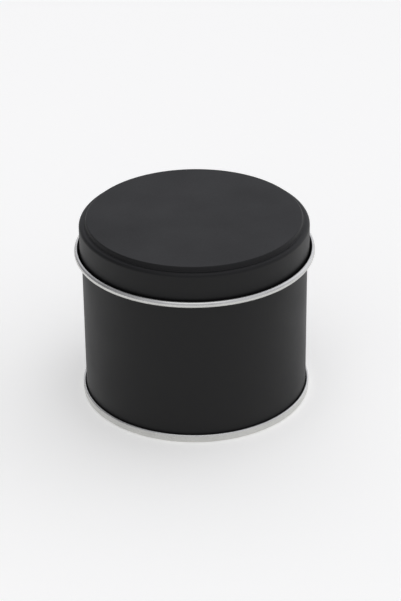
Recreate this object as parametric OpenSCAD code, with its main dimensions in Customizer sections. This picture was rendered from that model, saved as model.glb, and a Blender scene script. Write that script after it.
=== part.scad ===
// Round slip-lid candle tin: a welded tinplate body, a double-seamed bottom end
// with its ring of sealing compound, and a drawn lid with a stepped top and an
// outward curl. Millimetres, +Z up, origin at the middle of the base.

/* [Tin] */
// Outside diameter of the body wall
body_d = 76; // [60:1:100]
// Overall height with the lid on
overall_h = 64.8; // [45:0.1:100]
// Thickness of the tinplate
sheet = 0.25; // [0.2:0.01:0.28]

/* [Lid] */
// Overall height of the lid, from its curl to its top
lid_h = 13; // [10:0.1:20]
// Gap between the body wall and the lid's skirt, on each side
lid_gap = 0.4; // [0.2:0.05:0.5]
// Height of the raised top panel above the shoulder ledge
step_h = 1.5; // [1.4:0.1:2.4]
// Straight width of the shoulder ledge
ledge_w = 0.5; // [0.3:0.1:1.5]
// Middle radius of the outward curl at the foot of the skirt
lid_curl_r = 0.95; // [0.8:0.025:1.2]
// How far the outward curl is turned round
lid_curl_turn = 264; // [200:1:300]

/* [Body] */
// Middle radius of the inward curl round the mouth
rim_curl_r = 0.775; // [0.6:0.025:1]
// How far the inward curl is turned round
rim_curl_turn = 300; // [240:5:300]
// Width of the lap that closes the side seam
weld_w = 0.8; // [0.5:0.1:1.5]
// How far the lap stands proud of the wall, inside and outside
weld_proud = 0.05; // [0.02:0.01:0.08]

/* [Bottom seam] */
// Height of the double seam
seam_h = 2.8; // [2.7:0.1:3.4]
// Height of the countersunk ring of the bottom end above the base
countersink_h = 4.2; // [4:0.1:5]
// Drop from the countersunk ring to the floor panel
floor_drop = 0.7; // [0.5:0.1:1]
// Radius at which the floor panel steps down inside its bead
bead_r = 27; // [20:0.5:30]
// Gap that the sealing compound fills between the hooks
hook_gap = 0.12; // [0.1:0.01:0.14]

/* [Hidden] */

$fn = 96;
// Largest angle between two points of a bend
bend_step = 12;
half = sheet / 2;

// Gap between layers of the seam that are rolled tight together
layer_gap = 0.1;

// Middle radii of the upright walls, from the chuck wall out to the lid's skirt
wall_r = body_d / 2 - half;
chuck_r = wall_r - sheet - layer_gap;
end_hook_r = wall_r + sheet + layer_gap;
body_hook_r = end_hook_r + sheet + hook_gap;
seam_wall_r = body_hook_r + sheet + hook_gap;
skirt_r = body_d / 2 + lid_gap + half;

// Bends of the seam
seam_bend_r = 0.5;
seam_flat_w = seam_wall_r - chuck_r - 2 * seam_bend_r;
body_hook_bend_r = (body_hook_r - wall_r) / 2;
end_hook_bend_r = (seam_wall_r - end_hook_r) / 2;
body_hook_base = sheet + layer_gap;
body_hook_drop = 0.75;
body_hook_top = seam_h - body_hook_drop;
end_hook_tip = 1.05;
compound_inset = 0.1;

// Bends of the bottom end's panel
panel_bend_r = 0.6;
panel_slope = 40;
bead_slope = 20;
bead_drop = 0.35;

// Bends of the lid
shoulder_bend_r = 1.1;
step_inner_bend_r = 0.4;
step_outer_bend_r = 0.35;
step_slope = 70;
ledge_z = overall_h - step_h;
curl_base_z = overall_h - lid_h;

// The rim stops just under the lid's ledge
rim_gap = 0.1;
rim_z = ledge_z - sheet - rim_gap;

// The side seam's lap ends this far from the double seam and from the rim's curl
lap_inset = 0.25;

// The stretches of a bent sheet. Each is a list of moves [distance, turn], where half of
// the turn comes before the distance and half after it; a positive turn is to the left.
function straight(length) = [[length, 0]];
function bend(radius, turn) =
    let (steps = ceil(abs(turn) / bend_step), part = turn / steps)
    [for (i = [1:steps]) [2 * radius * sin(abs(part) / 2), part]];

// The stations [point, heading] that a list of moves passes, in the (radius, height) plane
function walk(moves, at, heading, i = 0) =
    i == len(moves)
        ? [[at, heading]]
        : let (middle = heading + moves[i][1] / 2,
               next = at + moves[i][0] * [cos(middle), sin(middle)])
          concat([[at, heading]], walk(moves, next, heading + moves[i][1], i + 1));

// The same stations walked the other way
function backwards(stations) =
    [for (i = [len(stations) - 1:-1:0]) [stations[i][0], stations[i][1] + 180]];

// One path through two walks that set out from the same station in opposite directions
function joined(first, second) =
    concat(backwards(first), [for (i = [1:len(second) - 1]) second[i]]);

// Carries a walk on, straight in to the axis of the tin
function to_axis(stations) =
    let (last = stations[len(stations) - 1]) concat(stations, [[[0, last[0][1]], last[1]]]);

// How far bending through an angle moves a walk across the line it first pointed along
function aside(radius, turn) = radius * (1 - cos(turn));

// Outline of a strip of the given thickness along a path
function strip(stations, thickness) = concat(
    [for (s = stations) s[0] + thickness / 2 * [-sin(s[1]), cos(s[1])]],
    [for (s = backwards(stations)) s[0] + thickness / 2 * [-sin(s[1]), cos(s[1])]]
);

// A sheet spun round the axis of the tin
module spun(stations, thickness = sheet) {
    rotate_extrude() polygon(strip(stations, thickness));
}

// The lap of the side seam, a thicker stripe up the back of the body
module side_seam() {
    angle = weld_w / (body_d / 2) * 180 / PI;
    base = seam_h + lap_inset;
    top = rim_z - half - rim_curl_r - lap_inset;
    rotate([0, 0, 90 - angle / 2])
        rotate_extrude(angle = angle)
            translate([wall_r - half - weld_proud, base])
                square([sheet + 2 * weld_proud, top - base]);
}

// Welded body: an inward curl round the mouth, and a hook turned up outside its foot
module tin_body() {
    middle = rim_z / 2;
    curl_start = rim_z - half - rim_curl_r;
    bend_start = body_hook_base + half + body_hook_bend_r;
    up = concat(straight(curl_start - middle), bend(rim_curl_r, rim_curl_turn));
    down = concat(
        straight(middle - bend_start),
        bend(body_hook_bend_r, 180),
        straight(body_hook_top - bend_start)
    );
    color([0.16, 0.16, 0.165])
        union() {
            spun(joined(walk(up, [wall_r, middle], 90), walk(down, [wall_r, middle], -90)));
            side_seam();
        }
}

// Bottom end: a panel with an expansion bead and a countersunk ring, rolled round
// the body's hook
module bottom_end() {
    start = [chuck_r, countersink_h / 2];
    ring_z = countersink_h - half - panel_bend_r;
    drop = floor_drop - 2 * aside(panel_bend_r, panel_slope);
    bead_fall = bead_drop - 2 * aside(panel_bend_r, bead_slope);
    inner = walk(
        concat(
            straight(ring_z - start[1]),
            bend(panel_bend_r, 90 + panel_slope),
            straight(drop / sin(panel_slope)),
            bend(panel_bend_r, -panel_slope)
        ),
        start, 90
    );
    ledge = inner[len(inner) - 1][0];
    bead = walk(
        concat(
            straight(ledge[0] - bead_r),
            bend(panel_bend_r, bead_slope),
            straight(bead_fall / sin(bead_slope)),
            bend(panel_bend_r, -bead_slope)
        ),
        ledge, 180
    );
    outer = walk(
        concat(
            straight(start[1] - half - seam_bend_r),
            bend(seam_bend_r, 90),
            straight(seam_flat_w),
            bend(seam_bend_r, 90),
            straight(seam_h - sheet - seam_bend_r - end_hook_bend_r),
            bend(end_hook_bend_r, 180),
            straight(seam_h - half - end_hook_bend_r - end_hook_tip)
        ),
        start, -90
    );
    color([0.78, 0.78, 0.77])
        spun(joined(to_axis(concat(inner, [for (i = [1:len(bead) - 1]) bead[i]])), outer));
}

// Sealing compound: fills the end's hook round the tip of the body's hook
module seam_compound() {
    clearance = 0.01;
    outer = end_hook_bend_r - half - clearance;
    inner = half + clearance;
    foot = end_hook_tip + compound_inset;
    slot_top = body_hook_top + clearance;
    dome_z = seam_h - half - end_hook_bend_r;
    dome = [for (angle = [0:bend_step:180]) [outer * cos(angle), dome_z + outer * sin(angle)]];
    legs = [
        [-outer, foot], [-inner, foot], [-inner, slot_top],
        [inner, slot_top], [inner, foot], [outer, foot]
    ];
    color([0.66, 0.6, 0.46])
        rotate_extrude() translate([body_hook_r, 0]) polygon(concat(dome, legs));
}

// Drawn lid: a raised top panel, a shoulder ledge, a skirt and its outward curl
module lid() {
    middle = (ledge_z + curl_base_z) / 2;
    shoulder_start = ledge_z - half - shoulder_bend_r;
    curl_start = curl_base_z + half + lid_curl_r;
    wall_h = step_h - aside(step_inner_bend_r, step_slope) - aside(step_outer_bend_r, step_slope);
    up = concat(
        straight(shoulder_start - middle),
        bend(shoulder_bend_r, 90),
        straight(ledge_w),
        bend(step_inner_bend_r, -step_slope),
        straight(wall_h / sin(step_slope)),
        bend(step_outer_bend_r, step_slope)
    );
    down = concat(straight(middle - curl_start), bend(lid_curl_r, lid_curl_turn));
    color([0.16, 0.16, 0.165])
        spun(joined(to_axis(walk(up, [skirt_r, middle], 90)), walk(down, [skirt_r, middle], -90)));
}

tin_body();
bottom_end();
seam_compound();
lid();
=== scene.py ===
"""Black slip-lid candle tin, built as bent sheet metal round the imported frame.

Lengths are in metres and angles in radians. Each sheet-metal piece is a strip bent along a
path of straights and bends in the (radius, height) plane, then spun round the Z axis. The
strip's left side is the lacquered face of the lid and the body; its right side is bare.
"""

import math

import bpy
from mathutils import Matrix, Vector


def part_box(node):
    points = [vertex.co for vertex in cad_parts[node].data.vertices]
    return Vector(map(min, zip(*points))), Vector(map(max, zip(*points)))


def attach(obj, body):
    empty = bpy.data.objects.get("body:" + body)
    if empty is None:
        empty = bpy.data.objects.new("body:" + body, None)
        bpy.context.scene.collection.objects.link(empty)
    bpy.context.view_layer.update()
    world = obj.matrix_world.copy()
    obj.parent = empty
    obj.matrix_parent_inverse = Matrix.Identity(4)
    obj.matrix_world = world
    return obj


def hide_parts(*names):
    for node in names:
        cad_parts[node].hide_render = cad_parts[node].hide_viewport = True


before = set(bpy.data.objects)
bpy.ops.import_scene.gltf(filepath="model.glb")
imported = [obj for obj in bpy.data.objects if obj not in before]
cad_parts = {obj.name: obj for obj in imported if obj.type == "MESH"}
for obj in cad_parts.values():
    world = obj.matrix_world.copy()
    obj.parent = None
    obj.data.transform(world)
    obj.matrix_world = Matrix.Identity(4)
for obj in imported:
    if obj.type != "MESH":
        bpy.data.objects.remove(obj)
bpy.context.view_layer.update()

MM = 0.001
lid_low, lid_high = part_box("lid")
body_low, body_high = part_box("tin_body")
end_low, end_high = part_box("bottom_end")
compound_low, compound_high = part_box("seam_compound")

# The sheet, and the upright walls' middle radii, from the seam's outer wall inward
SHEET = 0.25 * MM
HALF = SHEET / 2
HOOK_GAP = 0.12 * MM
LAYER_GAP = 0.1 * MM
seam_wall_r = end_high.x - HALF
body_hook_r = seam_wall_r - SHEET - HOOK_GAP
end_hook_r = body_hook_r - SHEET - HOOK_GAP
wall_r = end_hook_r - SHEET - LAYER_GAP
chuck_r = wall_r - SHEET - LAYER_GAP
LID_GAP = 0.4 * MM
skirt_r = wall_r + HALF + LID_GAP + HALF

# Bends of the body and of the seam
RIM_CURL_R = 0.775 * MM
RIM_CURL_TURN = math.radians(300)
SEAM_BEND_R = 0.5 * MM
COMPOUND_CLEARANCE = 0.01 * MM
COMPOUND_INSET = 0.1 * MM
BODY_HOOK_DROP = 0.75 * MM
seam_height = compound_high.z + COMPOUND_CLEARANCE + SHEET
body_hook_top = seam_height - BODY_HOOK_DROP
end_hook_tip = compound_low.z - COMPOUND_INSET
body_hook_bend_r = (body_hook_r - wall_r) / 2
end_hook_bend_r = (seam_wall_r - end_hook_r) / 2

# Panel of the bottom end
PANEL_BEND_R = 0.6 * MM
FLOOR_DROP = 0.7 * MM
PANEL_SLOPE = math.radians(40)
BEAD_R = 27 * MM
BEAD_SLOPE = math.radians(20)
BEAD_DROP = 0.35 * MM

# Bends of the lid
STEP_HEIGHT = 1.5 * MM
LEDGE_WIDTH = 0.5 * MM
SHOULDER_BEND_R = 1.1 * MM
STEP_INNER_BEND_R = 0.4 * MM
STEP_OUTER_BEND_R = 0.35 * MM
STEP_SLOPE = math.radians(70)
LID_CURL_TURN = math.radians(264)
lid_curl_r = (lid_high.x - HALF - skirt_r) / 2
ledge_z = lid_high.z - STEP_HEIGHT

# The side seam up the back of the body: a welded lap in a stripe left bare of lacquer
SEAM_ANGLE = math.radians(90)
BARE_WIDTH = 2.6 * MM
WELD_WIDTH = 0.8 * MM
WELD_PROUD = 0.05 * MM
WELD_EDGE = WELD_WIDTH / 4
WELD_FADE = 0.6 * MM

# How finely the pieces are divided
BEND_STEP = math.radians(7)
SPOKES = 240
SKIRT_PARTS = 4
WALL_PARTS = 6
FADE_PARTS = 3
HOOK_PARTS = 2
PANEL_PARTS = 2
AXIS_PARTS = 6
WELD_EDGE_SPOKES = 5

# A raw edge of the sheet: points round it, and how far it bulges in sheet halves
CAP_STEPS = 6
CAP_BULGE = 0.4

# Spokes nearer than this are one spoke, and points nearer than this lie on the axis
SAME_ANGLE = 1e-5
ON_AXIS = 1e-9

RIGHT_ANGLE = math.radians(90)
HALF_TURN = math.radians(180)
FULL_TURN = math.radians(360)
UP = RIGHT_ANGLE
DOWN = -RIGHT_ANGLE


# ---- paths of bent sheet -------------------------------------------------------------


def straight(length, parts=1):
    """Moves along a straight. A move is (distance, turn), with half the turn at each end."""
    return [(length / parts, 0.0)] * parts


def bend(radius, turn):
    """Moves round a bend. A positive turn is to the left."""
    steps = math.ceil(abs(turn) / BEND_STEP)
    part = turn / steps
    return [(2 * radius * math.sin(abs(part) / 2), part)] * steps


def aside(radius, turn):
    """How far a bend moves across the line it first pointed along."""
    return radius * (1 - math.cos(turn))


def walk(moves, at, heading):
    """The stations (point, heading) that the moves pass."""
    stations = [(Vector(at), heading)]
    for distance, turn in moves:
        middle = heading + turn / 2
        at = stations[-1][0] + distance * Vector((math.cos(middle), math.sin(middle)))
        heading += turn
        stations.append((at, heading))
    return stations


def backwards(stations):
    return [(at, heading + HALF_TURN) for at, heading in reversed(stations)]


def joined(first, second):
    """One path through two walks that set out from one station in opposite directions."""
    return backwards(first) + second[1:]


def to_axis(stations):
    """Carries a walk on, straight in to the axis."""
    at, heading = stations[-1]
    shares = [1 - i / AXIS_PARTS for i in range(1, AXIS_PARTS + 1)]
    return stations + [(Vector((at.x * share, at.y)), heading) for share in shares]


def lid_path():
    middle = (ledge_z + lid_low.z) / 2
    bends_height = aside(STEP_INNER_BEND_R, STEP_SLOPE) + aside(STEP_OUTER_BEND_R, STEP_SLOPE)
    step_wall = (STEP_HEIGHT - bends_height) / math.sin(STEP_SLOPE)
    up = (
        straight(ledge_z - HALF - SHOULDER_BEND_R - middle, SKIRT_PARTS)
        + bend(SHOULDER_BEND_R, RIGHT_ANGLE)
        + straight(LEDGE_WIDTH)
        + bend(STEP_INNER_BEND_R, -STEP_SLOPE)
        + straight(step_wall)
        + bend(STEP_OUTER_BEND_R, STEP_SLOPE)
    )
    down = (
        straight(middle - lid_low.z - HALF - lid_curl_r, SKIRT_PARTS)
        + bend(lid_curl_r, LID_CURL_TURN)
    )
    start = (skirt_r, middle)
    return joined(to_axis(walk(up, start, UP)), walk(down, start, DOWN))


def body_path():
    middle = body_high.z / 2
    bend_start = body_low.z + HALF + body_hook_bend_r
    up = (
        straight(body_high.z - HALF - RIM_CURL_R - middle - WELD_FADE, WALL_PARTS)
        + straight(WELD_FADE, FADE_PARTS)
        + bend(RIM_CURL_R, RIM_CURL_TURN)
    )
    down = (
        straight(middle - seam_height - WELD_FADE, WALL_PARTS)
        + straight(WELD_FADE, FADE_PARTS)
        + straight(seam_height - bend_start, HOOK_PARTS)
        + bend(body_hook_bend_r, HALF_TURN)
        + straight(body_hook_top - bend_start)
    )
    start = (wall_r, middle)
    return joined(walk(up, start, UP), walk(down, start, DOWN))


def bottom_end_path():
    start = (chuck_r, end_high.z / 2)
    drop = FLOOR_DROP - 2 * aside(PANEL_BEND_R, PANEL_SLOPE)
    bead_fall = BEAD_DROP - 2 * aside(PANEL_BEND_R, BEAD_SLOPE)
    moves = (
        straight(end_high.z - HALF - PANEL_BEND_R - start[1])
        + bend(PANEL_BEND_R, RIGHT_ANGLE + PANEL_SLOPE)
        + straight(drop / math.sin(PANEL_SLOPE))
        + bend(PANEL_BEND_R, -PANEL_SLOPE)
    )
    panel_edge = walk(moves, start, UP)[-1][0].x
    moves += (
        straight(panel_edge - BEAD_R, PANEL_PARTS)
        + bend(PANEL_BEND_R, BEAD_SLOPE)
        + straight(bead_fall / math.sin(BEAD_SLOPE))
        + bend(PANEL_BEND_R, -BEAD_SLOPE)
    )
    outer = (
        straight(start[1] - HALF - SEAM_BEND_R)
        + bend(SEAM_BEND_R, RIGHT_ANGLE)
        + straight(seam_wall_r - chuck_r - 2 * SEAM_BEND_R)
        + bend(SEAM_BEND_R, RIGHT_ANGLE)
        + straight(seam_height - SHEET - SEAM_BEND_R - end_hook_bend_r)
        + bend(end_hook_bend_r, HALF_TURN)
        + straight(seam_height - HALF - end_hook_bend_r - end_hook_tip)
    )
    return joined(to_axis(walk(moves, start, UP)), walk(outer, start, DOWN))


# ---- meshes --------------------------------------------------------------------------


def direction(heading):
    return Vector((math.cos(heading), math.sin(heading)))


def cap(at, heading, along):
    """Points round a raw edge, from the strip's left side to its right side."""
    points = []
    for i in range(1, CAP_STEPS):
        angle = RIGHT_ANGLE - HALF_TURN * i / CAP_STEPS
        across = direction(heading + RIGHT_ANGLE) * math.sin(angle)
        outward = direction(heading) * math.cos(angle)
        point = at + HALF * (across + CAP_BULGE * outward)
        normal = (CAP_BULGE * across + outward).normalized()
        points.append((point, normal, along, "bare"))
    return points


def outline(stations, closed_on_axis):
    """The strip's outline as (point, normal, length along the sheet, side)."""
    lengths = [0.0]
    for (a, _), (b, _) in zip(stations, stations[1:]):
        lengths.append(lengths[-1] + (b - a).length)
    left = []
    right = []
    for (at, heading), along in zip(stations, lengths):
        normal = direction(heading + RIGHT_ANGLE)
        left.append((at + HALF * normal, normal, along, "lacquered"))
        right.append((at - HALF * normal, -normal, along, "bare"))
    end_at, end_heading = stations[-1]
    start_at, start_heading = stations[0]
    points = left + cap(end_at, end_heading, lengths[-1]) + right[::-1]
    if not closed_on_axis:
        points += cap(start_at, start_heading + HALF_TURN, 0.0)
    return points


def spoke_angles(extra=()):
    """Angles of the spokes, from the side seam round to it again, without repeats."""
    even = [SEAM_ANGLE + FULL_TURN * i / SPOKES for i in range(SPOKES)]
    near = [SEAM_ANGLE + angle for angle in extra]
    wrapped = sorted(angle % FULL_TURN for angle in even + near)
    kept = []
    for angle in wrapped:
        if not kept or angle - kept[-1] > SAME_ANGLE:
            kept.append(angle)
    return kept


def flush(side, angle, height):
    """A plain surface: nothing stands out of it."""
    return 0.0, 0.0


def spin_points(points, angles, proud):
    """The vertices and normals, and for each point of the outline its ring of vertices."""
    vertices = []
    normals = []
    rings = []
    for point, normal, _, side in points:
        if point.x < ON_AXIS:
            rings.append([len(vertices)])
            vertices.append((0.0, 0.0, point.y))
            normals.append((0.0, 0.0, math.copysign(1.0, normal.y)))
            continue
        ring = []
        for angle in angles:
            out, slope = proud(side, angle, point.y)
            radial = Vector((math.cos(angle), math.sin(angle), 0.0))
            tangent = Vector((-math.sin(angle), math.cos(angle), 0.0))
            radius = point.x + math.copysign(out, normal.x)
            ring.append(len(vertices))
            vertices.append(tuple(radius * radial + Vector((0.0, 0.0, point.y))))
            flat_normal = normal.x * radial + Vector((0.0, 0.0, normal.y))
            normals.append(tuple((flat_normal - slope * tangent).normalized()))
        rings.append(ring)
    return vertices, normals, rings


def spin_faces(points, angles, rings, slot_of, closed_on_axis, flat_blank):
    """The faces, their material slots, and each corner's place on the flat sheet."""
    faces = []
    slots = []
    blanks = []
    count = len(angles)
    pairs = list(zip(range(len(points)), range(1, len(points))))
    if not closed_on_axis:
        pairs.append((len(points) - 1, 0))
    for i, j in pairs:
        height = (points[i][0].y + points[j][0].y) / 2
        side = "bare" if "bare" in (points[i][3], points[j][3]) else "lacquered"
        for a in range(count):
            b = (a + 1) % count
            first = angles[a]
            second = angles[b] if b else angles[b] + FULL_TURN
            corners = [(i, a, first), (j, a, first), (j, b, second), (i, b, second)]
            face = []
            blank = []
            for ring, spoke, angle in corners:
                index = rings[ring][spoke] if len(rings[ring]) > 1 else rings[ring][0]
                if index in face:
                    continue
                face.append(index)
                blank.append(blank_place(points[ring], angle, flat_blank))
            if len(face) < 3:
                continue
            faces.append(face)
            blanks.extend(blank)
            slots.append(slot_of(side, (first + second) / 2, height))
    return faces, slots, blanks


def spin(name, points, angles, slot_of, closed_on_axis, proud=flush, flat_blank=True):
    """A mesh object made by spinning an outline round the Z axis.

    slot_of(side, angle, height) picks the material. proud(side, angle, height) gives how far
    a point stands out of the plain surface and its slope along the circumference. The
    UV map holds each point's place on the flat sheet that the piece was made from.
    """
    vertices, normals, rings = spin_points(points, angles, proud)
    faces, slots, blanks = spin_faces(
        points, angles, rings, slot_of, closed_on_axis, flat_blank
    )
    mesh = bpy.data.meshes.new(name)
    mesh.from_pydata(vertices, [], faces)
    mesh.polygons.foreach_set("material_index", slots)
    mesh.polygons.foreach_set("use_smooth", [True] * len(faces))
    layer = mesh.uv_layers.new(name="blank")
    layer.data.foreach_set("uv", [value for pair in blanks for value in pair])
    mesh.update()
    mesh.validate()
    mesh.normals_split_custom_set_from_vertices(normals)
    piece = bpy.data.objects.new(name, mesh)
    bpy.context.scene.collection.objects.link(piece)
    return piece


def blank_place(point, angle, flat_blank):
    """Where a point of a spun piece lay on its flat sheet, in metres."""
    along = point[2]
    if flat_blank:
        return (along * math.cos(angle), along * math.sin(angle))
    turned = (angle - SEAM_ANGLE) % FULL_TURN
    return (wall_r * turned, along)


# ---- materials -----------------------------------------------------------------------

# Noise scales are in waves per metre. Most of a noise lies between these two values
NOISE_LOW = 0.3
NOISE_HIGH = 0.7

LACQUER_IOR = 1.33
LACQUER_DARK = (0.0052, 0.0052, 0.0054)
LACQUER_PALE = (0.0066, 0.0066, 0.0068)
LACQUER_ROUGHNESS = (0.455, 0.545)
LACQUER_PATCHES = 45
LACQUER_GRAIN = 2600
LACQUER_PEEL = 900

TIN_DARK = (0.585, 0.583, 0.566)
TIN_PALE = (0.645, 0.643, 0.624)
TIN_ROUGHNESS = (0.24, 0.30)
TIN_CLOUDS = 160
TIN_LINES = (60, 9000, 1)

COMPOUND_DARK = (0.46, 0.39, 0.25)
COMPOUND_PALE = (0.58, 0.50, 0.34)
COMPOUND_ROUGHNESS = (0.75, 0.9)
COMPOUND_GRAINS = 3000


RANGE_SOCKETS = ("From Min", "From Max", "To Min", "To Max")


class Shader:
    """A short way to write a material's nodes."""

    def __init__(self, name):
        self.material = bpy.data.materials.new(name)
        self.material.use_nodes = True
        self.tree = self.material.node_tree
        self.principled = self.tree.nodes["Principled BSDF"]

    def set(self, **values):
        for socket, value in values.items():
            self.principled.inputs[socket.replace("_", " ")].default_value = value

    def node(self, kind, **settings):
        made = self.tree.nodes.new("ShaderNode" + kind)
        for key, value in settings.items():
            setattr(made, key, value)
        return made

    def link(self, source, target):
        self.tree.links.new(source, target)

    def place(self, kind="Object"):
        return self.node("TexCoord").outputs[kind]

    def stretched(self, place, scale):
        mapping = self.node("Mapping")
        mapping.inputs["Scale"].default_value = scale
        self.link(place, mapping.inputs["Vector"])
        return mapping.outputs["Vector"]

    def noise(self, place, scale, detail=2.0, roughness=0.5):
        made = self.node("TexNoise")
        made.inputs["Scale"].default_value = scale
        made.inputs["Detail"].default_value = detail
        made.inputs["Roughness"].default_value = roughness
        self.link(place, made.inputs["Vector"])
        return made.outputs["Fac"]

    def spread(self, value, to_low, to_high, low=NOISE_LOW, high=NOISE_HIGH):
        made = self.node("MapRange")
        for socket, number in zip(RANGE_SOCKETS, (low, high, to_low, to_high)):
            made.inputs[socket].default_value = number
        self.link(value, made.inputs["Value"])
        return made.outputs["Result"]

    def sum(self, first, second):
        made = self.node("Math", operation="ADD")
        self.link(first, made.inputs[0])
        self.link(second, made.inputs[1])
        return made.outputs[0]

    def blend(self, factor, first, second):
        made = self.node("Mix", data_type="RGBA")
        self.link(factor, made.inputs["Factor"])
        made.inputs["A"].default_value = (*first, 1.0)
        made.inputs["B"].default_value = (*second, 1.0)
        return made.outputs["Result"]

    def bump(self, height, strength, distance):
        made = self.node("Bump")
        made.inputs["Strength"].default_value = strength
        made.inputs["Distance"].default_value = distance
        self.link(height, made.inputs["Height"])
        return made.outputs["Normal"]


def black_lacquer():
    """Satin black lacquer on tinplate: faint orange peel, soft rubbed patches, fine specks."""
    shader = Shader("satin_black_lacquer")
    shader.set(IOR=LACQUER_IOR)
    place = shader.place()
    patches = shader.noise(place, LACQUER_PATCHES, detail=3.0)
    worn = shader.spread(patches, 0, 1, low=0.35, high=0.65)
    colour = shader.blend(worn, LACQUER_DARK, LACQUER_PALE)
    shader.link(colour, shader.principled.inputs["Base Color"])
    rubbed = shader.spread(patches, *LACQUER_ROUGHNESS)
    grain = shader.spread(shader.noise(place, LACQUER_GRAIN, detail=1.0), -0.02, 0.02)
    shader.link(shader.sum(rubbed, grain), shader.principled.inputs["Roughness"])
    peel = shader.noise(place, LACQUER_PEEL, detail=1.5)
    shader.link(shader.bump(peel, 0.10, 0.01 * MM), shader.principled.inputs["Normal"])
    return shader.material


def tinplate():
    """Bare bright tinplate: rolling lines along the sheet, cloudy tin, soft gloss."""
    shader = Shader("bare_tinplate")
    shader.set(Metallic=1.0)
    sheet = shader.place("UV")
    lines = shader.noise(shader.stretched(sheet, TIN_LINES), 1, detail=3.0, roughness=0.6)
    clouds = shader.noise(sheet, TIN_CLOUDS, detail=3.0)
    colour = shader.blend(shader.spread(clouds, 0, 1), TIN_DARK, TIN_PALE)
    shader.link(colour, shader.principled.inputs["Base Color"])
    gloss = shader.spread(clouds, *TIN_ROUGHNESS)
    streaks = shader.spread(lines, -0.04, 0.04)
    shader.link(shader.sum(gloss, streaks), shader.principled.inputs["Roughness"])
    shader.link(shader.bump(lines, 0.15, 0.01 * MM), shader.principled.inputs["Normal"])
    return shader.material


def dried_compound():
    """Sealing compound: matt, slightly grainy rubber."""
    shader = Shader("dried_compound")
    grains = shader.noise(shader.place(), COMPOUND_GRAINS, detail=3.0)
    colour = shader.blend(grains, COMPOUND_DARK, COMPOUND_PALE)
    shader.link(colour, shader.principled.inputs["Base Color"])
    rough = shader.spread(grains, *COMPOUND_ROUGHNESS)
    shader.link(rough, shader.principled.inputs["Roughness"])
    shader.link(shader.bump(grains, 0.3, 0.02 * MM), shader.principled.inputs["Normal"])
    return shader.material


# ---- the tin -------------------------------------------------------------------------


def finish_piece(piece, materials, body, node):
    for material in materials:
        piece.data.materials.append(material)
    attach(piece, body)
    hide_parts(node)


def by_side(side, angle, height):
    """Material 0 is lacquer, 1 is bare tinplate."""
    return 0 if side == "lacquered" else 1


def seam_offset(angle):
    """Distance round the wall from the middle of the side seam."""
    return wall_r * ((angle - SEAM_ANGLE + HALF_TURN) % FULL_TURN - HALF_TURN)


def body_slot(side, angle, height):
    bare_stripe = abs(seam_offset(angle)) < BARE_WIDTH / 2
    return 1 if bare_stripe else by_side(side, angle, height)


def ease(value):
    value = min(max(value, 0.0), 1.0)
    return value * value * (3 - 2 * value)


def weld_proud(side, angle, height):
    """How far the welded lap stands out of the wall, and its slope round the wall."""
    top = body_high.z - HALF - RIM_CURL_R
    fade = ease((top - height) / WELD_FADE) * ease((height - seam_height) / WELD_FADE)
    offset = seam_offset(angle)
    rise = (WELD_WIDTH / 2 - abs(offset)) / WELD_EDGE
    slope = 0.0
    if 0 < rise < 1:
        slope = -math.copysign(6 * rise * (1 - rise) / WELD_EDGE, offset)
    return WELD_PROUD * fade * ease(rise), WELD_PROUD * fade * slope


def weld_spokes():
    """Extra spokes that carry the weld's sloping edges and the bare stripe's edges."""
    offsets = [BARE_WIDTH / 2]
    for i in range(WELD_EDGE_SPOKES + 1):
        offsets.append(WELD_WIDTH / 2 - WELD_EDGE * (1 - i / WELD_EDGE_SPOKES))
    return [side * offset / wall_r for offset in offsets for side in (-1, 1)]


def build_tin():
    lacquer = black_lacquer()
    tin = tinplate()
    plain = spoke_angles()

    points = outline(lid_path(), True)
    lid = spin("lid_shell", points, plain, by_side, True)
    finish_piece(lid, (lacquer, tin), "lid", "lid")

    points = outline(body_path(), False)
    seamed = spoke_angles(weld_spokes())
    body = spin("body_shell", points, seamed, body_slot, False, weld_proud, False)
    finish_piece(body, (lacquer, tin), "tin", "tin_body")

    points = outline(bottom_end_path(), True)
    end = spin("bottom_end_shell", points, plain, by_side, True)
    finish_piece(end, (tin, tin), "tin", "bottom_end")

    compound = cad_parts["seam_compound"]
    compound.data.materials.clear()
    compound.data.materials.append(dried_compound())


# ---- studio --------------------------------------------------------------------------

FLOOR_SIZE = 6.0
FLOOR_COLOUR = (0.945, 0.94, 0.9, 1.0)
WHITE = (1.0, 1.0, 1.0, 1.0)
COOL_WHITE = (0.975, 0.98, 1.04, 1.0)
FLOOR_ROUGHNESS = 0.9
FLOOR_GLOW = 0.24

# The surround's even level, and the soft glows on it as (direction, strength)
SURROUND = 0.28
GLOWS = (
    ((0.3, 0.83, 0.47), 0.6),
    ((0.0, -0.77, 0.64), 0.37),
    ((0.98, 0.0, 0.2), 0.344),
)
GLOW_START = 0.3
GLOW_FULL = 0.95

# The large soft lamp over the tin
LAMP_AT = Vector((0.0, -0.35, 1.3))
LAMP_AIM = Vector((0.0, 0.0, 0.0))
LAMP_SIZE = 0.9
LAMP_POWER = 1.8

CAMERA_AT = Vector((0.0, -0.64507, 0.39238))
CAMERA_AIM = Vector((0.00182, 0.0, 0.0324))
CAMERA_ROLL = math.radians(-0.615)
CAMERA_LENS = 129.7
CAMERA_SENSOR = 36.0
CAMERA_NEAREST = 0.01


def build_floor():
    half = FLOOR_SIZE / 2
    mesh = bpy.data.meshes.new("floor")
    corners = [(-half, -half, 0), (half, -half, 0), (half, half, 0), (-half, half, 0)]
    mesh.from_pydata(corners, [], [(0, 1, 2, 3)])
    floor = bpy.data.objects.new("floor", mesh)
    bpy.context.scene.collection.objects.link(floor)
    shader = Shader("floor")
    shader.set(Base_Color=FLOOR_COLOUR, Roughness=FLOOR_ROUGHNESS)
    shader.set(Emission_Color=WHITE, Emission_Strength=FLOOR_GLOW)
    mesh.materials.append(shader.material)


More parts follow.
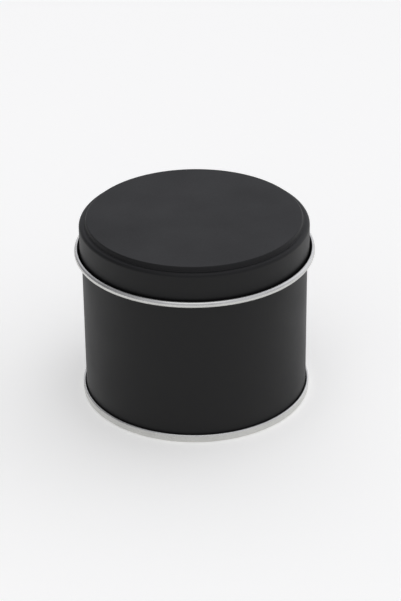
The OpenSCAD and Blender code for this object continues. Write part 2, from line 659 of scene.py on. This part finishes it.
def build_world():
    """A pale surround with soft glows: behind the tin, before it and to its right."""
    world = bpy.data.worlds.new("studio")
    world.use_nodes = True
    bpy.context.scene.world = world
    tree = world.node_tree
    background = tree.nodes["Background"]
    background.inputs["Color"].default_value = COOL_WHITE
    way = tree.nodes.new("ShaderNodeTexCoord")
    level = tree.nodes.new("ShaderNodeValue")
    level.outputs[0].default_value = SURROUND
    total = level.outputs[0]
    for direction_to, strength in GLOWS:
        near = tree.nodes.new("ShaderNodeVectorMath")
        near.operation = "DOT_PRODUCT"
        near.inputs[1].default_value = direction_to
        tree.links.new(way.outputs["Generated"], near.inputs[0])
        glow = tree.nodes.new("ShaderNodeMapRange")
        glow.interpolation_type = "SMOOTHSTEP"
        for socket, number in zip(RANGE_SOCKETS, (GLOW_START, GLOW_FULL, 0.0, strength)):
            glow.inputs[socket].default_value = number
        tree.links.new(near.outputs["Value"], glow.inputs["Value"])
        added = tree.nodes.new("ShaderNodeMath")
        added.operation = "ADD"
        tree.links.new(total, added.inputs[0])
        tree.links.new(glow.outputs["Result"], added.inputs[1])
        total = added.outputs[0]
    tree.links.new(total, background.inputs["Strength"])


def build_lamp():
    light = bpy.data.lights.new("overhead", "AREA")
    light.shape = "SQUARE"
    light.size = LAMP_SIZE
    light.energy = LAMP_POWER
    lamp = bpy.data.objects.new("overhead", light)
    lamp.location = LAMP_AT
    lamp.rotation_euler = (LAMP_AIM - LAMP_AT).to_track_quat("-Z", "Y").to_euler()
    bpy.context.scene.collection.objects.link(lamp)


def build_camera():
    data = bpy.data.cameras.new("camera")
    data.sensor_width = CAMERA_SENSOR
    data.lens = CAMERA_LENS
    data.clip_start = CAMERA_NEAREST
    camera = bpy.data.objects.new("camera", data)
    turned = (CAMERA_AIM - CAMERA_AT).to_track_quat("-Z", "Y").to_matrix()
    roll = Matrix.Rotation(CAMERA_ROLL, 3, "Z")
    camera.matrix_world = Matrix.Translation(CAMERA_AT) @ (turned @ roll).to_4x4()
    bpy.context.scene.collection.objects.link(camera)
    bpy.context.scene.camera = camera


def build_studio():
    build_floor()
    build_world()
    build_lamp()
    build_camera()
    bpy.context.scene.view_settings.view_transform = "Standard"


build_tin()
build_studio()
